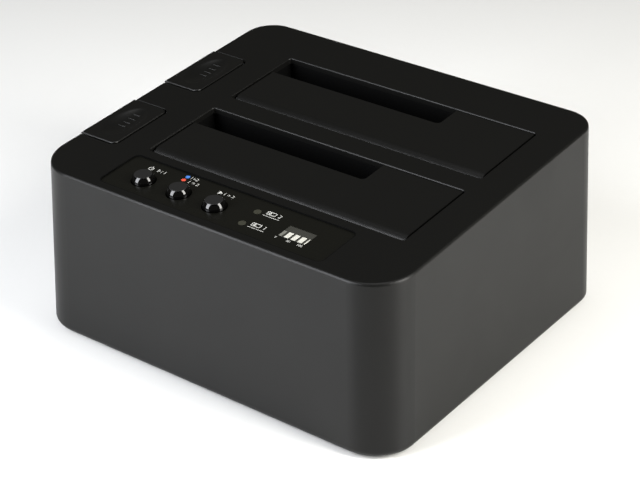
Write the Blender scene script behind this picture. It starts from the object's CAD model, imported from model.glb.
import logging
import math
from dataclasses import dataclass
from enum import Enum

import bmesh
import bpy
from mathutils import Matrix, Vector
from mathutils.bvhtree import BVHTree


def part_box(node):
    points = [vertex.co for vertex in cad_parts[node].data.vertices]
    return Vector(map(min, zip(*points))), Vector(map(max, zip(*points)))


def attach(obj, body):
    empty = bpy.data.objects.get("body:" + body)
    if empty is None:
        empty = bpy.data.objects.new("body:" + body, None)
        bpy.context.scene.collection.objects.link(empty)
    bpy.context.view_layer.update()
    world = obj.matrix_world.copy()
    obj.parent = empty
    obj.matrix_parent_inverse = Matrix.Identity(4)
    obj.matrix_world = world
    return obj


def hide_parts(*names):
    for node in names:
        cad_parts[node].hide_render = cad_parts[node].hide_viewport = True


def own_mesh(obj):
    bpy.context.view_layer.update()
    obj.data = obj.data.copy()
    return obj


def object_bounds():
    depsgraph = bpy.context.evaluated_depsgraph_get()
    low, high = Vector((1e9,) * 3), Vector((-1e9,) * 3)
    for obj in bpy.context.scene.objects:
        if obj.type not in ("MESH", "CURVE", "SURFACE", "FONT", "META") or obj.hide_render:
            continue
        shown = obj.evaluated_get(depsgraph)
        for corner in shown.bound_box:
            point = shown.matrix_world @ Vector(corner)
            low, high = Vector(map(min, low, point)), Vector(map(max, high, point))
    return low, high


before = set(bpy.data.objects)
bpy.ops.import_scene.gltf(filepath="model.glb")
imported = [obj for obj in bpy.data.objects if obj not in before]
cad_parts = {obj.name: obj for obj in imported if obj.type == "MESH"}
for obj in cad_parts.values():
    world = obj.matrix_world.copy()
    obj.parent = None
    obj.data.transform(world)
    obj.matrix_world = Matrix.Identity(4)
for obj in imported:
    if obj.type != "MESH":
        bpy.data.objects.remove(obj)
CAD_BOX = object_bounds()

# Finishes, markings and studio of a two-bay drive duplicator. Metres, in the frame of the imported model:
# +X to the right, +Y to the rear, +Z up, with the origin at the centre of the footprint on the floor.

MM = 0.001
Tree = bpy.types.NodeTree
Node = bpy.types.Node
Socket = bpy.types.NodeSocket
log = logging.getLogger("duplicator")


class Bay(Enum):
    """The two drive bays, by the first word of their pieces' names."""

    FRONT = "front"
    REAR = "rear"


class Key(Enum):
    """The three push buttons, by the first word of their pieces' names."""

    POWER = "power"
    MODE = "mode"
    START = "start"


# ---- small tools ---------------------------------------------------------------------------------


def linear(colour: str) -> tuple[float, float, float, float]:
    """Turns an sRGB hex colour into the linear values that a shader takes.

    Args:
        colour: six hex digits, such as "1c1c1b".

    Returns:
        Linear red, green and blue, with an alpha of 1.
    """
    channels = [int(colour[i:i + 2], 16) / 255 for i in (0, 2, 4)]
    red, green, blue = (c / 12.92 if c <= 0.04045 else ((c + 0.055) / 1.055) ** 2.4 for c in channels)
    return red, green, blue, 1.0


def add_node(
    tree: Tree,
    kind: str,
    values: dict[str | int, object] | None = None,
    links: dict[str | int, Socket] | None = None,
    **settings: object,
) -> Node:
    """Adds one shader node with its settings, constants and links.

    Args:
        tree: the node tree that takes the node.
        kind: the node's type, without its ShaderNode prefix.
        values: constants for input sockets, by name or number.
        links: the outputs that feed input sockets, by name or number.
        **settings: the node's own properties.

    Returns:
        The new node.
    """
    node = tree.nodes.new("ShaderNode" + kind)
    for name, setting in settings.items():
        setattr(node, name, setting)
    for socket, value in (values or {}).items():
        node.inputs[socket].default_value = value
    for socket, output in (links or {}).items():
        tree.links.new(output, node.inputs[socket])
    return node


# ---- finishes ------------------------------------------------------------------------------------


@dataclass(frozen=True)
class Finish:
    """A surface finish: one Principled shader, with its pattern in the object's own coordinates."""

    name: str
    colour: str
    roughness: float
    metallic: float = 0.0
    specular: float = 0.5
    coat: float = 0.0
    coat_roughness: float = 0.1

    def material(self) -> bpy.types.Material:
        """Builds the finish's material, or gives the one that was built before.

        Returns:
            The material.
        """
        known = bpy.data.materials.get(self.name)
        if known:
            return known
        made = bpy.data.materials.new(self.name)
        made.use_nodes = True
        tree = made.node_tree
        shader = tree.nodes["Principled BSDF"]
        constants = {
            "Base Color": linear(self.colour),
            "Roughness": self.roughness,
            "Metallic": self.metallic,
            "Specular IOR Level": self.specular,
            "Coat Weight": self.coat,
            "Coat Roughness": self.coat_roughness,
        }
        for socket, value in constants.items():
            shader.inputs[socket].default_value = value
        place = add_node(tree, "TexCoord").outputs["Object"]
        self.pattern(tree, shader, place)
        return made

    def pattern(self, tree: Tree, shader: Node, place: Socket) -> None:
        """Adds the finish's own detail to its shader.

        Args:
            tree: the material's node tree.
            shader: its Principled shader.
            place: the object's coordinates.
        """
        raise NotImplementedError(self.name)


@dataclass(frozen=True)
class Moulded(Finish):
    """Injection-moulded plastic from a spark-eroded tool: an even matt grit, with faint flow marks."""

    other_colour: str = "000000"
    grit: float = 0.45 * MM
    grit_height: float = 0.012 * MM
    flow: float = 28 * MM
    gloss_spread: float = 0.06

    def pattern(self, tree: Tree, shader: Node, place: Socket) -> None:
        """Adds the tool's grit as relief, and slow changes of tone and gloss where the melt flowed."""
        grit = add_node(tree, "TexNoise", {"Scale": 1 / self.grit, "Detail": 3.0, "Roughness": 0.6},
                        {"Vector": place})
        flow = add_node(tree, "TexNoise", {"Scale": 1 / self.flow, "Detail": 2.0, "Distortion": 0.6},
                        {"Vector": place})
        mixed = add_node(tree, "Math", {1: 0.35}, {0: grit.outputs["Fac"]}, operation="MULTIPLY")
        share = add_node(tree, "Math", {}, {0: flow.outputs["Fac"], 1: mixed.outputs[0]}, operation="ADD")
        spread = add_node(tree, "MapRange", {"From Min": 0.35, "From Max": 0.95},
                          {"Value": share.outputs[0]})
        tone = add_node(tree, "Mix", {6: linear(self.colour), 7: linear(self.other_colour)},
                        {0: spread.outputs[0]}, data_type="RGBA")
        gloss = add_node(tree, "MapRange", {"To Min": self.roughness - self.gloss_spread,
                                            "To Max": self.roughness + self.gloss_spread},
                         {"Value": share.outputs[0]})
        relief = add_node(tree, "Bump", {"Strength": 1.0, "Distance": self.grit_height},
                          {"Height": grit.outputs["Fac"]})
        tree.links.new(tone.outputs[2], shader.inputs["Base Color"])
        tree.links.new(gloss.outputs[0], shader.inputs["Roughness"])
        tree.links.new(relief.outputs[0], shader.inputs["Normal"])


@dataclass(frozen=True)
class Polished(Finish):
    """Plastic from a polished tool, or a glossy film: smooth, with shallow waves and a few fine wipes."""

    wave: float = 9 * MM
    wave_height: float = 0.004 * MM
    wipe: float = 0.25 * MM
    gloss_spread: float = 0.03

    def pattern(self, tree: Tree, shader: Node, place: Socket) -> None:
        """Adds the surface's slow waves and the faint wipe marks in its gloss."""
        wave = add_node(tree, "TexNoise", {"Scale": 1 / self.wave, "Detail": 1.0}, {"Vector": place})
        along = add_node(tree, "Mapping", {"Scale": (0.12, 1.0, 1.0), "Rotation": (0.0, 0.0, 0.35)},
                         {"Vector": place})
        wipe = add_node(tree, "TexNoise", {"Scale": 1 / self.wipe, "Detail": 2.0},
                        {"Vector": along.outputs[0]})
        gloss = add_node(tree, "MapRange", {"From Min": 0.3, "From Max": 0.75,
                                            "To Min": max(self.roughness - self.gloss_spread, 0.02),
                                            "To Max": self.roughness + self.gloss_spread},
                         {"Value": wipe.outputs["Fac"]})
        relief = add_node(tree, "Bump", {"Strength": 1.0, "Distance": self.wave_height},
                          {"Height": wave.outputs["Fac"]})
        tree.links.new(gloss.outputs[0], shader.inputs["Roughness"])
        tree.links.new(relief.outputs[0], shader.inputs["Normal"])


@dataclass(frozen=True)
class Metal(Finish):
    """Drawn, stamped or plated metal: fine lines along one direction, and a slightly uneven gloss."""

    metallic: float = 1.0
    line: float = 0.12 * MM
    line_height: float = 0.003 * MM
    stretch: tuple[float, float, float] = (0.06, 1.0, 1.0)
    gloss_spread: float = 0.08

    def pattern(self, tree: Tree, shader: Node, place: Socket) -> None:
        """Adds the drawing lines as relief, and plating that is a little brighter in places."""
        along = add_node(tree, "Mapping", {"Scale": self.stretch}, {"Vector": place})
        lines = add_node(tree, "TexNoise", {"Scale": 1 / self.line, "Detail": 3.0},
                         {"Vector": along.outputs[0]})
        patch = add_node(tree, "TexNoise", {"Scale": 0.1 / self.line, "Detail": 2.0}, {"Vector": place})
        gloss = add_node(tree, "MapRange", {"To Min": self.roughness - self.gloss_spread,
                                            "To Max": self.roughness + self.gloss_spread},
                         {"Value": patch.outputs["Fac"]})
        relief = add_node(tree, "Bump", {"Strength": 1.0, "Distance": self.line_height},
                          {"Height": lines.outputs["Fac"]})
        tree.links.new(gloss.outputs[0], shader.inputs["Roughness"])
        tree.links.new(relief.outputs[0], shader.inputs["Normal"])


@dataclass(frozen=True)
class Laminate(Finish):
    """Glass-fibre board under solder mask: copper tracks show as slightly raised, lighter lines."""

    track_colour: str = "2f6b3d"
    track: float = 1.6 * MM
    track_height: float = 0.03 * MM

    def pattern(self, tree: Tree, shader: Node, place: Socket) -> None:
        """Adds a grid of tracks that stop and start, under the mask."""
        black, white = (0, 0, 0, 1), (1, 1, 1, 1)
        cells = add_node(tree, "TexBrick", {"Scale": 1 / self.track, "Mortar Size": 0.12,
                                            "Mortar Smooth": 0.3, "Color1": black, "Color2": black,
                                            "Mortar": white, "Brick Width": 3.0, "Row Height": 0.5},
                         {"Vector": place})
        breaks = add_node(tree, "TexNoise", {"Scale": 0.2 / self.track, "Detail": 1.0}, {"Vector": place})
        kept = add_node(tree, "Math", {1: 0.5}, {0: breaks.outputs["Fac"]}, operation="GREATER_THAN")
        drawn = add_node(tree, "Math", {}, {0: cells.outputs["Color"], 1: kept.outputs[0]},
                         operation="MULTIPLY")
        tone = add_node(tree, "Mix", {6: linear(self.colour), 7: linear(self.track_colour)},
                        {0: drawn.outputs[0]}, data_type="RGBA")
        relief = add_node(tree, "Bump", {"Strength": 1.0, "Distance": self.track_height},
                          {"Height": drawn.outputs[0]})
        tree.links.new(tone.outputs[2], shader.inputs["Base Color"])
        tree.links.new(relief.outputs[0], shader.inputs["Normal"])


@dataclass(frozen=True)
class Ink(Finish):
    """Screen-printed ink: opaque and flat, a little thin where the screen's threads crossed."""

    thin_colour: str = "808080"
    thread: float = 0.2 * MM

    def pattern(self, tree: Tree, shader: Node, place: Socket) -> None:
        """Adds the uneven lay of the ink and its low grain."""
        lay = add_node(tree, "TexNoise", {"Scale": 1 / self.thread, "Detail": 2.0}, {"Vector": place})
        share = add_node(tree, "MapRange", {"From Min": 0.25, "From Max": 0.6},
                         {"Value": lay.outputs["Fac"]})
        tone = add_node(tree, "Mix", {6: linear(self.thin_colour), 7: linear(self.colour)},
                        {0: share.outputs[0]}, data_type="RGBA")
        relief = add_node(tree, "Bump", {"Strength": 0.6, "Distance": 0.004 * MM},
                          {"Height": lay.outputs["Fac"]})
        tree.links.new(tone.outputs[2], shader.inputs["Base Color"])
        tree.links.new(relief.outputs[0], shader.inputs["Normal"])


# Black ABS, moulded in a spark-eroded tool: near black and matt, with a soft sheen at grazing angles.
CASE_ABS = Moulded("abs_black_spark_eroded", "0d0d0c", 0.37, other_colour="0a0a09", specular=0.23)
# The flaps and pads come from a finer tool than the case, and look a shade smoother.
FLAP_ABS = Moulded("abs_black_fine_grit", "0c0c0b", 0.35, other_colour="0a0a09", specular=0.30,
                   grit=0.3 * MM, grit_height=0.0012 * MM)
# Inner frames and levers are plain black ABS, never polished.
FRAME_ABS = Moulded("abs_black_plain", "020202", 0.6, other_colour="010101", specular=0.10,
                    grit=0.8 * MM, grit_height=0.01 * MM)
# The panel is a black polycarbonate film with a satin face.
PANEL_FILM = Polished("polycarbonate_film_satin_black", "0d0d0a", 0.30, specular=0.30)
# Button caps are black ABS from a polished tool: a mirror on the chamfer.
BUTTON_GLOSS = Polished("abs_black_polished", "030303", 0.05, gloss_spread=0.02, wave_height=0.001 * MM)
# The flat top of a cap is lapped dull.
BUTTON_TOP = Moulded("abs_black_dull_cap", "191919", 0.42, other_colour="141414", grit=0.25 * MM)
STEEL_WIRE = Metal("spring_steel_drawn", "a7a9ab", 0.28)
STEEL_ZINC = Metal("steel_zinc_plated", "b9bcc0", 0.32)
STEEL_BLACK = Metal("steel_black_oxide", "2b2b2d", 0.42)
STEEL_SHELL = Metal("steel_nickel_plated_stamped", "c3c4c2", 0.24)
CONTACT_GOLD = Metal("bronze_gold_flashed", "d8b15a", 0.22)
ALUMINIUM = Metal("aluminium_extruded_anodised", "8f9498", 0.38)
CAN_ALUMINIUM = Metal("aluminium_can_drawn", "b4b7ba", 0.3)
FOOT_RUBBER = Moulded("rubber_moulded_black", "1b1b1b", 0.82, other_colour="151515", specular=0.3,
                      grit=0.9 * MM, grit_height=0.03 * MM)
# A foam bead soaks up the light in the gap round the panel.
SEAL_FOAM = Moulded("foam_black", "040404", 0.95, other_colour="020202", specular=0.1, grit=0.3 * MM)
SOCKET_PBT = Moulded("pbt_black_glass_filled", "151515", 0.5, other_colour="101010", grit=0.4 * MM)
INSULATOR_PA = Moulded("nylon_blue", "1f4f9e", 0.45, other_colour="1b458b", grit=0.4 * MM)
CHIP_EPOXY = Moulded("epoxy_moulded_chip", "202224", 0.5, other_colour="1a1b1d", grit=0.3 * MM)
CABLE_PVC = Moulded("pvc_grey_ribbon", "7d7f82", 0.45, other_colour="6f7174", grit=0.9 * MM)
BOARD_FR4 = Laminate("fr4_green_mask", "14492a", 0.3, coat=0.4)
# Lamps that are off look like dim olive discs under smoked polycarbonate.
LENS_SMOKED = Polished("polycarbonate_smoked_lens", "35352d", 0.25, wave_height=0.002 * MM)
WINDOW_SMOKED = Polished("polycarbonate_smoked_window", "343430", 0.28, wave_height=0.002 * MM)
LED_RESIN = Polished("epoxy_lamp_resin", "d8d2b8", 0.2, wave_height=0.002 * MM)
INK_WHITE = Ink("ink_white", "c9c9c4", 0.5, thin_colour="8f8f8b")
INK_BLUE = Ink("ink_blue", "4a7fd0", 0.5, thin_colour="35609f")
INK_RED = Ink("ink_red", "d8523e", 0.5, thin_colour="a43c2c")
BAR_LIT = Ink("bar_backlit_white", "c9c8bf", 0.4, thin_colour="b7b6ac")
BAR_DIM = Ink("bar_backlit_dim", "6f6f68", 0.4, thin_colour="62625b")
# The table is white laminate with a satin face, which throws the soft boxes back at the object's sides.
TABLE_WHITE = Moulded("laminate_white_satin", "f4f4f2", 0.40, other_colour="f0f0ee", specular=0.4,
                      grit=2 * MM, grit_height=0.004 * MM, flow=400 * MM, gloss_spread=0.02)


# ---- shapes --------------------------------------------------------------------------------------


@dataclass(frozen=True)
class Deck:
    """The sloping top: x to the right, v rearwards along the slope, w up from the surface."""

    front_y: float = -63.5 * MM
    front_height: float = 62.9 * MM
    depth: float = 127.0 * MM
    rise: float = 6.9 * MM
    thickness: float = 2.2 * MM

    def place(self, x: float, v: float, w: float) -> Matrix:
        """Gives the transform that takes a shape drawn at the origin to a point of the deck.

        Args:
            x: place across the deck.
            v: place along the slope.
            w: height above the deck's surface.

        Returns:
            The transform, tilted with the deck.
        """
        corner = Matrix.Translation((0.0, self.front_y, self.front_height))
        tilt = Matrix.Rotation(math.asin(self.rise / self.depth), 4, "X")
        return corner @ tilt @ Matrix.Translation((x, v, w))

    def extent(self, node: str) -> tuple[Vector, Vector]:
        """Measures a CAD node along the deck.

        Args:
            node: the node's name.

        Returns:
            Its lowest and highest x, v and w.
        """
        back = self.place(0.0, 0.0, 0.0).inverted()
        points = [back @ vertex.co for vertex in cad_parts[node].data.vertices]
        low = Vector(min(point[axis] for point in points) for axis in range(3))
        high = Vector(max(point[axis] for point in points) for axis in range(3))
        return low, high


DECK = Deck()


def lathe(profile: list[tuple[float, float]], steps: int = 64) -> bmesh.types.BMesh:
    """Spins a profile about the Z axis into a closed turned shape.

    Args:
        profile: points (radius, height), from the axis out and back to the axis.
        steps: divisions of the full turn.

    Returns:
        The turned shape, with its faces outwards.
    """
    shape = bmesh.new()
    points = [shape.verts.new((radius, 0.0, height)) for radius, height in profile]
    edges = [shape.edges.new(pair) for pair in zip(points, points[1:])]
    bmesh.ops.spin(shape, geom=points + edges, cent=(0, 0, 0), axis=(0, 0, 1), dvec=(0, 0, 0),
                   angle=math.tau, steps=steps, use_merge=True, use_duplicate=False)
    bmesh.ops.remove_doubles(shape, verts=shape.verts[:], dist=1e-7)
    bmesh.ops.dissolve_degenerate(shape, dist=1e-8, edges=shape.edges[:])
    bmesh.ops.recalc_face_normals(shape, faces=shape.faces[:])
    return shape


def coil(radius: float, wire: float, height: float, turns: int, steps: int = 24) -> bmesh.types.BMesh:
    """Winds wire into a spring that stands on the origin's plane.

    Args:
        radius: outer radius of the spring.
        wire: radius of the wire.
        height: overall height.
        turns: number of turns.
        steps: divisions of one turn.

    Returns:
        The closed spring.
    """
    shape = bmesh.new()
    place = Matrix.Translation((radius - wire, 0.0, wire)) @ Matrix.Rotation(math.pi / 2, 4, "X")
    section = bmesh.ops.create_circle(shape, cap_ends=False, segments=10, radius=wire,
                                      matrix=place)["verts"]
    start = list(shape.edges)
    rise = (height - 2 * wire) / (turns * steps)
    end = bmesh.ops.spin(shape, geom=section + start, cent=(0, 0, 0), axis=(0, 0, 1), dvec=(0, 0, rise),
                         angle=turns * math.tau, steps=turns * steps, use_merge=False,
                         use_duplicate=False)["geom_last"]
    for rim in (start, [edge for edge in end if isinstance(edge, bmesh.types.BMEdge)]):
        bmesh.ops.contextual_create(shape, geom=rim)
    bmesh.ops.recalc_face_normals(shape, faces=shape.faces[:])
    return shape


def plate(width: float, depth: float, thickness: float, corner: float = 0.0, edge: float = 0.0,
          segments: int = 6) -> bmesh.types.BMesh:
    """Makes a flat plate that stands on the origin's plane, centred on the origin.

    Args:
        width: size along X.
        depth: size along Y.
        thickness: height of the plate, or 0 for a flat face.
        corner: radius of its four upright corners.
        edge: radius of its top edges.
        segments: divisions of each round corner.

    Returns:
        The closed plate.
    """
    shape = bmesh.new()
    bmesh.ops.create_grid(shape, x_segments=1, y_segments=1, size=0.5)
    bmesh.ops.scale(shape, vec=(width, depth, 1.0), verts=shape.verts[:])
    if corner:
        bmesh.ops.bevel(shape, geom=shape.verts[:], affect="VERTICES", offset=corner, offset_type="OFFSET",
                        segments=segments, profile=0.5, material=-1)
    return raised(shape, thickness, edge) if thickness else shape


def raised(shape: bmesh.types.BMesh, thickness: float, edge: float = 0.0) -> bmesh.types.BMesh:
    """Turns flat faces into a closed solid by lifting a copy of them.

    Args:
        shape: flat faces in the origin's plane.
        thickness: how far the copy is lifted along Z.
        edge: radius of the lifted face's edges.

    Returns:
        The same bmesh, closed.
    """
    grown = bmesh.ops.extrude_face_region(shape, geom=shape.faces[:])["geom"]
    lifted = [v for v in grown if isinstance(v, bmesh.types.BMVert)]
    bmesh.ops.translate(shape, vec=(0.0, 0.0, thickness), verts=lifted)
    bmesh.ops.recalc_face_normals(shape, faces=shape.faces[:])
    if edge:
        rim = [e for e in shape.edges if all(v in set(lifted) for v in e.verts)
               and any(abs(f.normal.z) < 0.5 for f in e.link_faces)]
        bmesh.ops.bevel(shape, geom=rim, affect="EDGES", offset=edge, offset_type="OFFSET", segments=3,
                        profile=0.5, material=-1)
    return shape


def ring(outer: float, inner: float, thickness: float, gap: float = 0.0,
         steps: int = 40) -> bmesh.types.BMesh:
    """Makes a flat ring, whole or broken at its +Y side.

    Args:
        outer: outer radius.
        inner: inner radius.
        thickness: height.
        gap: angle that is left open, in radians.
        steps: divisions of the full turn.

    Returns:
        The closed ring.
    """
    shape = bmesh.new()
    start = Matrix.Rotation(math.pi / 2 + gap / 2, 3, "Z")
    ends = [shape.verts.new(start @ Vector((radius, 0.0, 0.0))) for radius in (inner, outer)]
    line = shape.edges.new(ends)
    bmesh.ops.spin(shape, geom=ends + [line], cent=(0, 0, 0), axis=(0, 0, 1), dvec=(0, 0, 0),
                   angle=math.tau - gap, steps=steps, use_merge=not gap, use_duplicate=False)
    bmesh.ops.remove_doubles(shape, verts=shape.verts[:], dist=1e-8)
    return raised(shape, thickness)


def digits(text: str, height: float, thickness: float) -> bmesh.types.BMesh:
    """Sets plain numerals as a flat printed mesh, centred on the origin.

    Args:
        text: the numerals.
        height: their height.
        thickness: thickness of the ink.

    Returns:
        The closed numerals.
    """
    curve = bpy.data.curves.new("numerals", "FONT")
    curve.body = text
    curve.size = height / 0.7
    curve.resolution_u = 4
    holder = bpy.data.objects.new("numerals", curve)
    flat = bpy.data.meshes.new_from_object(holder)
    shape = bmesh.new()
    shape.from_mesh(flat)
    bpy.data.objects.remove(holder)
    bpy.data.curves.remove(curve)
    bpy.data.meshes.remove(flat)
    xs = [v.co.x for v in shape.verts]
    ys = [v.co.y for v in shape.verts]
    centre = Vector(((min(xs) + max(xs)) / 2, (min(ys) + max(ys)) / 2, 0.0))
    bmesh.ops.translate(shape, vec=-centre, verts=shape.verts[:])
    return raised(shape, thickness)


def drawn_out(shape: bmesh.types.BMesh, rim: list[bmesh.types.BMEdge], rise: float,
              scale: float) -> list[bmesh.types.BMEdge]:
    """Grows a wall from a closed rim.

    Args:
        shape: the bmesh that holds the rim.
        rim: the rim's edges.
        rise: how far the wall rises along Z.
        scale: the new rim's size as a share of the old one's, about the Z axis.

    Returns:
        The new rim's edges.
    """
    grown = bmesh.ops.extrude_edge_only(shape, edges=rim)["geom"]
    moving = [v for v in grown if isinstance(v, bmesh.types.BMVert)]
    bmesh.ops.scale(shape, vec=(scale, scale, 1.0), verts=moving)
    bmesh.ops.translate(shape, vec=(0.0, 0.0, rise), verts=moving)
    return [e for e in grown
            if isinstance(e, bmesh.types.BMEdge) and all(v in set(moving) for v in e.verts)]


def joined(parts: list[bmesh.types.BMesh]) -> bmesh.types.BMesh:
    """Puts several shapes into one bmesh.

    Args:
        parts: the shapes, which are freed.

    Returns:
        One bmesh with all of them.
    """
    whole = bmesh.new()
    for part in parts:
        carrier = bpy.data.meshes.new("carrier")
        part.to_mesh(carrier)
        part.free()
        whole.from_mesh(carrier)
        bpy.data.meshes.remove(carrier)
    return whole


def moved(shape: bmesh.types.BMesh, place: Matrix) -> bmesh.types.BMesh:
    """Applies a transform to a shape.

    Args:
        shape: the shape.
        place: the transform.

    Returns:
        The same bmesh.
    """
    bmesh.ops.transform(shape, matrix=place, verts=shape.verts[:])
    return shape


# ---- sub-assemblies ------------------------------------------------------------------------------


class SubAssembly:
    """What every sub-assembly does: dress CAD nodes, and add pieces that ride on a body."""

    def dress(self, finish: Finish, *nodes: str) -> None:
        """Gives CAD nodes their finish.

        Args:
            finish: the finish.
            *nodes: names of CAD nodes.
        """
        for node in nodes:
            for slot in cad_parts[node].material_slots:
                slot.material = finish.material()
            log.info("dressed %s in %s", node, finish.name)

    def add_piece(self, name: str, shape: bmesh.types.BMesh, body: str, slot: str, *finishes: Finish,
                  sharp: float = 30.0) -> bpy.types.Object:
        """Turns a finished shape into an object that rides on a body.

        Args:
            name: the piece's name.
            shape: the shape in its place, which is freed.
            body: the body that carries it.
            slot: the record's material slot.
            *finishes: its finishes, in the order of its material numbers.
            sharp: angle in degrees past which an edge stays sharp.

        Returns:
            The new object.
        """
        mesh = bpy.data.meshes.new(name)
        shape.to_mesh(mesh)
        shape.free()
        mesh.shade_smooth()
        mesh.set_sharp_from_angle(angle=math.radians(sharp))
        for finish in finishes:
            mesh.materials.append(finish.material())
        piece = bpy.data.objects.new(name, mesh)
        bpy.context.scene.collection.objects.link(piece)
        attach(piece, body)
        log.info("made %s on %s, %d faces", name, body, len(mesh.polygons))
        return piece


@dataclass
class Housing(SubAssembly):
    """The moulded upper housing, its base plate, the feet and the screws below."""

    arm_length: float = 0.58
    arm_width: float = 0.17
    recess_depth: float = 1.1 * MM
    recess_taper: float = 0.85
    head_steps: int = 40

    def build(self) -> None:
        """Dresses the outer shells and what holds them together."""
        self.dress(CASE_ABS, "upper_housing", "base_plate")
        self.dress(FOOT_RUBBER, "rubber_feet")
        self.dress(STEEL_ZINC, "board_screws", "frame_screws", "control_board_screws")
        self.build_base_screws()

    def build_base_screws(self) -> None:
        """Makes the screws under the base, each with a cross recess in its head."""
        node = "base_screws"
        points = [vertex.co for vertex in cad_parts[node].data.vertices]
        screws = []
        for side in (-1, 1):
            for end in (-1, 1):
                corner = [point for point in points if point.x * side > 0 and point.y * end > 0]
                screws.append(self.screw(corner))
        piece = self.add_piece("base_cross_screws", joined(screws), "root", "steel", STEEL_BLACK)
        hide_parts(node)

    def screw(self, points: list[Vector]) -> bmesh.types.BMesh:
        """Makes one screw that stands head down.

        Args:
            points: the vertices of the plain screw that it stands for.

        Returns:
            The closed screw in its place.
        """
        low, high = (Vector(limit(point[axis] for point in points) for axis in range(3))
                     for limit in (min, max))
        head_radius = (high.x - low.x) / 2
        foot = Vector(((low.x + high.x) / 2, (low.y + high.y) / 2, low.z))
        reach = [(Vector((point.x, point.y)) - foot.xy).length for point in points]
        in_head = [point.z for point, radius in zip(points, reach) if radius > head_radius * 0.8]
        head_top = max(in_head) - low.z
        shank_radius = max(radius for point, radius in zip(points, reach) if point.z > (low.z + high.z) / 2)
        shape = bmesh.new()
        bmesh.ops.create_circle(shape, cap_ends=False, segments=self.head_steps, radius=head_radius)
        outline = list(shape.edges)
        cross = self.cross(shape, self.arm_length * head_radius, self.arm_width * head_radius)
        bmesh.ops.triangle_fill(shape, edges=outline + cross, use_beauty=True)
        floor = drawn_out(shape, cross, self.recess_depth, self.recess_taper)
        bmesh.ops.contextual_create(shape, geom=floor)
        rim = drawn_out(shape, outline, head_top, 1.0)
        rim = drawn_out(shape, rim, 0.0, shank_radius / head_radius)
        rim = drawn_out(shape, rim, high.z - low.z - head_top, 1.0)
        bmesh.ops.contextual_create(shape, geom=rim)
        bmesh.ops.recalc_face_normals(shape, faces=shape.faces[:])
        return moved(shape, Matrix.Translation(foot))

    def cross(self, shape: bmesh.types.BMesh, length: float, width: float) -> list[bmesh.types.BMEdge]:
        """Draws the outline of a cross round the origin.

        Args:
            shape: the bmesh that it is drawn in.
            length: half the length of an arm pair.
            width: half the width of an arm.

        Returns:
            The outline's edges.
        """
        arm = ((width, -length), (width, -width), (length, -width))
        corners = [shape.verts.new(Matrix.Rotation(quarter * math.pi / 2, 3, "Z") @ Vector((x, y, 0.0)))
                   for quarter in range(4) for x, y in arm]
        return [shape.edges.new(pair) for pair in zip(corners, corners[1:] + corners[:1])]


@dataclass
class Buttons(SubAssembly):
    """The three push buttons: a polished flank round a dull flat face, over a flange that keeps it in."""

    flank_radius: float = 4.0 * MM
    flank_low: float = 0.0
    flank_slope: tuple[float, float] = (8.0, 46.0)
    flank_steps: int = 10
    rim: float = 0.06 * MM
    flange_clearance: float = 0.1 * MM
    flange_thickness: float = 0.8 * MM
    stem_radius: float = 1.6 * MM
    turn_steps: int = 96

    def build(self) -> None:
        """Turns the caps, and dresses the plungers under them."""
        for key in Key:
            self.build_button(key)
            self.dress(CHIP_EPOXY, f"{key.value}_plunger")

    def flank(self, face_w: float) -> list[tuple[float, float]]:
        """Draws the bulging flank as an arc that leans in towards the face.

        Args:
            face_w: height of the face above the deck.

        Returns:
            Points (radius, height) from the face down.
        """
        low, high = (math.radians(angle) for angle in self.flank_slope)
        bulge = (face_w - self.flank_low) / (math.sin(high) - math.sin(low))
        points = []
        for step in range(self.flank_steps + 1):
            turn = high + (low - high) * step / self.flank_steps
            points.append((self.flank_radius - bulge * (math.cos(low) - math.cos(turn)),
                           self.flank_low + bulge * (math.sin(turn) - math.sin(low))))
        return points

    def build_button(self, key: Key) -> None:
        """Turns one button in one piece: face, flank, flange and stem.

        Args:
            key: the button.
        """
        node = f"{key.value}_button"
        low, high = DECK.extent(node)
        flange_radius = (high.x - low.x) / 2
        flange_top = -DECK.thickness - self.flange_clearance
        flange_low = flange_top - self.flange_thickness
        flank = self.flank(high.z - self.rim)
        profile = [(0.0, high.z), (flank[0][0] - self.rim, high.z)] + flank
        profile += [(self.flank_radius, flange_top), (flange_radius, flange_top),
                    (flange_radius, flange_low), (self.stem_radius, flange_low),
                    (self.stem_radius, low.z), (0.0, low.z)]
        shape = lathe(profile, self.turn_steps)
        for face in shape.faces:
            face.material_index = int(face.calc_center_median().z > high.z - self.rim / 2)
        place = DECK.place((low.x + high.x) / 2, (low.y + high.y) / 2, 0.0)
        piece = self.add_piece(f"{key.value}_cap", moved(shape, place), node, "button",
                               BUTTON_GLOSS, BUTTON_TOP)
        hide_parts(node)


@dataclass(frozen=True)
class Numeral:
    """Plain numerals printed on the film."""

    text: str
    height: float
    x: float
    v: float


NUMERALS = (
    # Over the power, mode and start buttons.
    Numeral("0 / 1", 1.45 * MM, -31.9 * MM, 19.3 * MM),
    Numeral("1+2", 1.5 * MM, -19.4 * MM, 21.6 * MM),
    Numeral("1 = 2", 1.5 * MM, -18.0 * MM, 19.3 * MM),
    Numeral("1 > 2", 1.45 * MM, -3.2 * MM, 19.6 * MM),
    # Along the scale, in percent.
    Numeral("0", 1.0 * MM, 24.4 * MM, 8.3 * MM),
    Numeral("50", 1.0 * MM, 29.3 * MM, 8.3 * MM),
    Numeral("100", 1.0 * MM, 33.8 * MM, 8.3 * MM),
    # Beside the lamps of the two bays.
    Numeral("1", 1.8 * MM, 18.6 * MM, 10.3 * MM),
    Numeral("2", 1.8 * MM, 18.6 * MM, 18.2 * MM),
)


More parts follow.
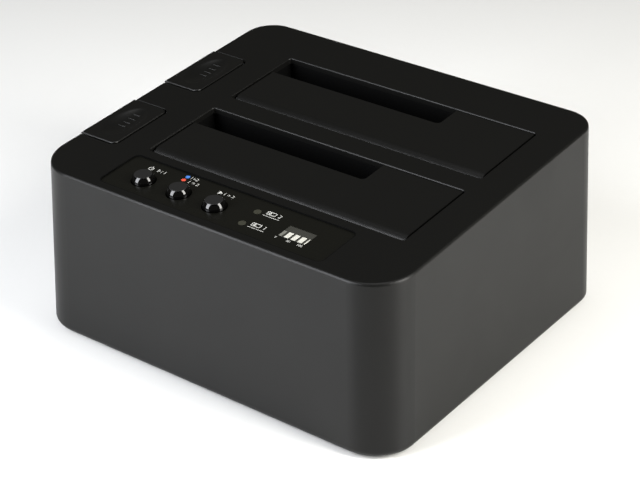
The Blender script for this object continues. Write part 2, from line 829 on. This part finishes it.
@dataclass
class ControlPanel(SubAssembly):
    """The film over the front of the deck, with its printed marks, two lamps and the progress window."""

    corner: float = 2.5 * MM
    seal: float = 0.24 * MM
    seal_drop: float = 0.06 * MM
    ink: float = 0.02 * MM
    film_w: float = -0.5 * MM
    dot_radius: float = 0.8 * MM
    dot_x: float = -22.35 * MM
    dots_v: tuple[float, float] = (21.5 * MM, 19.3 * MM)
    power_place: tuple[float, float] = (-36.2 * MM, 19.1 * MM)
    power_radii: tuple[float, float] = (1.0 * MM, 0.72 * MM)
    power_gap: float = 1.2
    power_stroke: tuple[float, float] = (0.28 * MM, 1.1 * MM)
    power_stroke_v: float = 0.75 * MM
    start_place: tuple[float, float] = (-7.0 * MM, 19.5 * MM)
    start_radius: float = 1.1 * MM
    lamps_v: tuple[float, float] = (10.3 * MM, 18.2 * MM)
    drive_x: float = 15.2 * MM
    drive_size: tuple[float, float] = (3.6 * MM, 1.9 * MM)
    drive_line: float = 0.28 * MM
    disc_radii: tuple[float, float] = (0.55 * MM, 0.2 * MM)
    disc_x: float = -0.6 * MM
    underline_size: tuple[float, float] = (6.4 * MM, 0.2 * MM)
    underline_x: float = 16.2 * MM
    underline_drop: float = 1.9 * MM
    bar_count: int = 5
    bar_width: float = 1.7 * MM
    bar_pitch: float = 2.6 * MM
    bar_margin: float = 0.1 * MM
    first_bar_x: float = 24.0 * MM
    bars_front_v: float = 9.5 * MM
    bars_rear_v: float = 12.7 * MM
    window_proud: float = 0.05 * MM

    def printed(self, shape: bmesh.types.BMesh, x: float, v: float) -> bmesh.types.BMesh:
        """Lays a flat mark on the film.

        Args:
            shape: the mark, drawn round the origin.
            x: place across the deck.
            v: place along the slope.

        Returns:
            The mark in its place.
        """
        return moved(shape, DECK.place(x, v, self.film_w))

    def build(self) -> None:
        """Dresses the film and lamps, and adds the prints."""
        self.dress(PANEL_FILM, "control_panel")
        self.dress(LENS_SMOKED, "status_lenses")
        self.dress(WINDOW_SMOKED, "progress_lens")
        self.build_seal()
        self.build_mode_dots()
        self.build_marks()
        self.build_bars()

    def build_seal(self) -> None:
        """Adds the black bead that fills the gap between the film and its recess."""
        low, high = DECK.extent("control_panel")
        width, depth = high.x - low.x + 2 * self.seal, high.y - low.y + 2 * self.seal
        shape = plate(width, depth, 0.0, corner=self.corner)
        rim = bmesh.ops.inset_region(shape, faces=shape.faces[:], thickness=self.seal, use_boundary=True,
                                     use_even_offset=True)["faces"]
        middle = [face for face in shape.faces if face not in set(rim)]
        bmesh.ops.delete(shape, geom=middle, context="FACES")
        raised(shape, -low.z - self.seal_drop)
        place = DECK.place((low.x + high.x) / 2, (low.y + high.y) / 2, low.z)
        self.add_piece("panel_seal", moved(shape, place), "root", "rubber", SEAL_FOAM)

    def build_mode_dots(self) -> None:
        """Adds the blue and the red dot that tell the two modes apart."""
        for name, finish, v in (("mode_dot_blue", INK_BLUE, self.dots_v[0]),
                                ("mode_dot_red", INK_RED, self.dots_v[1])):
            dot = lathe([(0.0, 0.0), (self.dot_radius, 0.0), (self.dot_radius, self.ink),
                         (0.0, self.ink)], 32)
            self.add_piece(name, self.printed(dot, self.dot_x, v), "root", "panel", finish)

    def build_marks(self) -> None:
        """Adds the white marks: symbols over the buttons, numbers by the lamps and along the scale."""
        marks = [self.printed(self.power_symbol(), *self.power_place),
                 self.printed(self.start_symbol(), *self.start_place)]
        for numeral in NUMERALS:
            marks.append(self.printed(digits(numeral.text, numeral.height, self.ink), numeral.x, numeral.v))
        for v in self.lamps_v:
            marks.append(self.printed(self.drive_outline(), self.drive_x, v))
            line = plate(*self.underline_size, self.ink)
            marks.append(self.printed(line, self.underline_x, v - self.underline_drop))
        self.add_piece("panel_marks", joined(marks), "root", "panel", INK_WHITE)

    def power_symbol(self) -> bmesh.types.BMesh:
        """Draws the power symbol: a broken ring with a stroke through its gap.

        Returns:
            The symbol, drawn round the origin.
        """
        lift = Matrix.Translation((0.0, self.power_stroke_v, 0.0))
        stroke = moved(plate(*self.power_stroke, self.ink), lift)
        return joined([ring(*self.power_radii, self.ink, gap=self.power_gap), stroke])

    def start_symbol(self) -> bmesh.types.BMesh:
        """Draws the start symbol: a triangle that points right.

        Returns:
            The symbol, drawn round the origin.
        """
        shape = bmesh.new()
        bmesh.ops.create_circle(shape, cap_ends=True, segments=3, radius=self.start_radius)
        bmesh.ops.rotate(shape, cent=(0, 0, 0), matrix=Matrix.Rotation(-math.pi / 2, 3, "Z"),
                         verts=shape.verts[:])
        return raised(shape, self.ink)

    def drive_outline(self) -> bmesh.types.BMesh:
        """Draws a drive as seen from above: a frame round a disc.

        Returns:
            The symbol, drawn round the origin.
        """
        width, depth = self.drive_size
        line = self.drive_line
        parts = [moved(ring(*self.disc_radii, self.ink), Matrix.Translation((self.disc_x, 0.0, 0.0)))]
        for side in (-1, 1):
            across = Matrix.Translation((0.0, side * (depth - line) / 2, 0.0))
            along = Matrix.Translation((side * (width - line) / 2, 0.0, 0.0))
            parts.append(moved(plate(width, line, self.ink), across))
            parts.append(moved(plate(line, depth, self.ink), along))
        return joined(parts)

    def build_bars(self) -> None:
        """Adds the bars behind the progress window's front half, cut off by the window's edges."""
        low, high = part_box("progress_lens")
        depth = self.bars_rear_v - self.bars_front_v
        bars = []
        for index in range(self.bar_count):
            left = self.first_bar_x + index * self.bar_pitch
            right = min(left + self.bar_width, high.x - self.bar_margin)
            left = max(left, low.x + self.bar_margin)
            place = DECK.place((left + right) / 2, self.bars_rear_v - depth / 2,
                               self.film_w + self.window_proud)
            bars.append(moved(plate(right - left, depth, self.ink), place))
        self.add_piece("progress_bar_dim", joined(bars[:1]), "root", "lens", BAR_DIM)
        self.add_piece("progress_bars", joined(bars[1:]), "root", "lens", BAR_LIT)


@dataclass
class DriveBay(SubAssembly):
    """One bay: its frame, socket, sprung flap, and the pad and lever that lift the drive out."""

    end: Bay
    rib_count: int = 4
    rib_pitch: float = 2.6 * MM
    rib_size: tuple[float, float] = (3.4 * MM, 0.8 * MM)
    rib_proud: float = 0.3 * MM
    rib_rearwards: float = 2.6 * MM
    rib_root: float = 0.3 * MM
    rib_corner: float = 0.36 * MM
    rib_edge: float = 0.18 * MM
    pad_turns: int = 7
    pad_wire: float = 0.3 * MM
    flap_turns: int = 8
    flap_wire: float = 0.25 * MM
    pad_travel: float = 5.0 * MM

    def named(self, piece: str) -> str:
        """Names one of the bay's pieces or joints.

        Args:
            piece: its name without the bay's.

        Returns:
            Its full name.
        """
        return f"{self.end.value}_{piece}"

    def build(self) -> None:
        """Dresses the bay's pieces, winds its springs and adds the pad's ribs."""
        self.dress(FRAME_ABS, self.named("bay_frame"), self.named("eject_lever"))
        self.dress(SOCKET_PBT, self.named("sata_socket"))
        self.dress(FLAP_ABS, self.named("flap"), self.named("eject_pad"))
        self.dress(STEEL_ZINC, self.named("hinge_pin"), self.named("lever_pin"))
        self.build_pad_spring()
        self.build_flap_spring()
        self.build_ribs()

    def build_pad_spring(self) -> None:
        """Winds the spring that lifts the pad, which shortens as the pad goes down."""
        node = self.named("pad_spring")
        low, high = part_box(node)
        foot = Vector(((low.x + high.x) / 2, (low.y + high.y) / 2, low.z))
        height = high.z - low.z
        spring = coil((high.x - low.x) / 2, self.pad_wire, height, self.pad_turns)
        shape = moved(spring, Matrix.Translation(foot))
        piece = self.add_piece(self.named("pad_coil"), shape, "root", "steel", STEEL_WIRE, sharp=60.0)
        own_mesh(piece)
        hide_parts(node)

    def build_flap_spring(self) -> None:
        """Winds the spring round the hinge pin that closes the flap."""
        node = self.named("flap_spring")
        low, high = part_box(node)
        middle = (low + high) / 2
        place = Matrix.Translation((low.x, middle.y, middle.z)) @ Matrix.Rotation(math.pi / 2, 4, "Y")
        shape = moved(coil((high.z - low.z) / 2, self.flap_wire, high.x - low.x, self.flap_turns), place)
        piece = self.add_piece(self.named("flap_coil"), shape, "root", "steel", STEEL_WIRE,
                               sharp=60.0)
        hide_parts(node)

    def build_ribs(self) -> None:
        """Adds the grip ribs that stand in the dish of the eject pad."""
        pad = self.named("eject_pad")
        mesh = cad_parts[pad].data
        back = DECK.place(0.0, 0.0, 0.0).inverted()
        surface = BVHTree.FromPolygons([back @ vertex.co for vertex in mesh.vertices],
                                       [tuple(polygon.vertices) for polygon in mesh.polygons])
        low, high = DECK.extent(pad)
        middle_x = (low.x + high.x) / 2
        ribs = []
        for index in range(self.rib_count):
            step = index - (self.rib_count - 1) / 2
            v = (low.y + high.y) / 2 + self.rib_rearwards + step * self.rib_pitch
            dish = surface.ray_cast(Vector((middle_x, v, high.z + 1 * MM)), Vector((0.0, 0.0, -1.0)))[0]
            rib = plate(*self.rib_size, self.rib_root + self.rib_proud, corner=self.rib_corner,
                        edge=self.rib_edge)
            ribs.append(moved(rib, DECK.place(middle_x, v, dish.z - self.rib_root)))
        self.add_piece(self.named("pad_ribs"), joined(ribs), pad, "flap", FLAP_ABS)


@dataclass
class Electronics(SubAssembly):
    """The two boards and what is on them, and the sockets at the rear."""

    def build(self) -> None:
        """Dresses the boards, their components and the rear sockets."""
        self.dress(BOARD_FR4, "main_board", "control_board")
        self.dress(CHIP_EPOXY, "controller_chips", "inductors", "tact_switches")
        self.dress(ALUMINIUM, "heat_sink")
        self.dress(CAN_ALUMINIUM, "capacitors")
        self.dress(STEEL_SHELL, "crystals", "usb_shell", "power_jack_pin")
        self.dress(CONTACT_GOLD, "sata_contacts")
        self.dress(SOCKET_PBT, "power_jack", "board_headers")
        self.dress(INSULATOR_PA, "usb_insert")
        self.dress(LED_RESIN, "indicator_leds")
        self.dress(CABLE_PVC, "ribbon_cable")


# ---- studio --------------------------------------------------------------------------------------


@dataclass(frozen=True)
class SoftBox:
    """A square light that faces the object. Its azimuth runs from the camera's side towards the right."""

    name: str
    azimuth: float
    elevation: float
    distance: float
    size: tuple[float, float]
    power: float
    colour: str


# One stands at each side of the camera, and a large one hangs above to whiten the floor.
SOFT_BOXES = (
    SoftBox("soft_box_left", -64.0, 27.0, 0.6, (0.28, 0.60), 6.3, "f8faff"),
    SoftBox("soft_box_right", 58.0, 27.0, 0.6, (0.22, 0.60), 6.7, "fffdf8"),
    SoftBox("soft_box_top", 180.0, 86.0, 1.4, (0.60, 0.60), 4.4, "ffffff"),
)


@dataclass
class Studio:
    """The white floor, the room round it, the soft boxes and the camera."""

    eye: tuple[float, float, float] = (0.3429, -0.4539, 0.3579)
    heading: float = 37.07
    elevation: float = 30.16
    roll: float = -0.708
    lens: float = 106.5
    floor_radius: float = 3.0
    light_spread: float = 180.0
    room_tint: str = "fffbee"
    room_low: float = 0.078
    room_high: float = 0.012
    room_edge: tuple[float, float] = (0.62, 0.76)
    room_seen: float = 0.85

    def build(self) -> None:
        """Makes the camera, the lights, the floor and the surroundings."""
        self.build_camera()
        self.build_floor()
        self.build_lights()
        self.build_surroundings()

    def build_camera(self) -> None:
        """Stands the camera where the object is seen from its front right corner."""
        data = bpy.data.cameras.new("camera")
        data.lens = self.lens
        data.sensor_width = 36.0
        data.clip_start = 0.01
        data.clip_end = 20.0
        camera = bpy.data.objects.new("camera", data)
        camera.matrix_world = (
            Matrix.Translation(self.eye)
            @ Matrix.Rotation(math.radians(self.heading), 4, "Z")
            @ Matrix.Rotation(math.radians(90.0 - self.elevation), 4, "X")
            @ Matrix.Rotation(math.radians(self.roll), 4, "Z")
        )
        bpy.context.scene.collection.objects.link(camera)
        bpy.context.scene.camera = camera

    def build_floor(self) -> None:
        """Lays a wide white satin floor."""
        shape = bmesh.new()
        bmesh.ops.create_circle(shape, cap_ends=True, segments=96, radius=self.floor_radius)
        mesh = bpy.data.meshes.new("floor")
        shape.to_mesh(mesh)
        shape.free()
        mesh.materials.append(TABLE_WHITE.material())
        floor = bpy.data.objects.new("floor", mesh)
        bpy.context.scene.collection.objects.link(floor)

    def hang(self, box: SoftBox, aim: Vector) -> None:
        """Hangs one soft box, facing the aim.

        Args:
            box: the soft box.
            aim: the point that it faces.
        """
        data = bpy.data.lights.new(box.name, "AREA")
        data.shape = "RECTANGLE"
        data.size, data.size_y = box.size
        data.energy = box.power
        data.color = linear(box.colour)[:3]
        data.spread = math.radians(self.light_spread)
        light = bpy.data.objects.new(box.name, data)
        turn = math.radians(self.heading + box.azimuth)
        lift = math.radians(box.elevation)
        back = Vector((math.sin(turn) * math.cos(lift), -math.cos(turn) * math.cos(lift), math.sin(lift)))
        light.location = aim + back * box.distance
        light.rotation_euler = back.to_track_quat("Z", "Y").to_euler()
        light.visible_camera = False
        bpy.context.scene.collection.objects.link(light)

    def build_lights(self) -> None:
        """Hangs the soft boxes round the middle of the object."""
        low, high = CAD_BOX
        for box in SOFT_BOXES:
            self.hang(box, (low + high) / 2)

    def build_surroundings(self) -> None:
        """Gives the room: pale to look at, and dark where the case mirrors it."""
        world = bpy.data.worlds.new("room")
        world.use_nodes = True
        tree = world.node_tree
        height = add_node(tree, "SeparateXYZ", {}, {0: add_node(tree, "TexCoord").outputs["Generated"]})
        start, stop = self.room_edge
        backdrop = add_node(tree, "MapRange", {"From Min": start, "From Max": stop, "To Min": self.room_low,
                                               "To Max": self.room_high},
                            {"Value": height.outputs["Z"]}, interpolation_type="SMOOTHSTEP")
        seen = add_node(tree, "LightPath").outputs["Is Camera Ray"]
        strength = add_node(tree, "Mix", {3: self.room_seen}, {0: seen, 2: backdrop.outputs[0]},
                            data_type="FLOAT")
        room = tree.nodes["Background"]
        room.inputs["Color"].default_value = linear(self.room_tint)
        tree.links.new(strength.outputs[0], room.inputs["Strength"])
        bpy.context.scene.world = world
        bpy.context.scene.view_settings.view_transform = "Standard"


def main() -> None:
    """Builds the studio and every sub-assembly."""
    logging.basicConfig(level=logging.INFO, format="%(message)s")
    Studio().build()
    bays = [DriveBay(bay) for bay in Bay]
    for assembly in (Housing(), Buttons(), ControlPanel(), *bays, Electronics()):
        assembly.build()


if __name__ == "__main__":
    main()
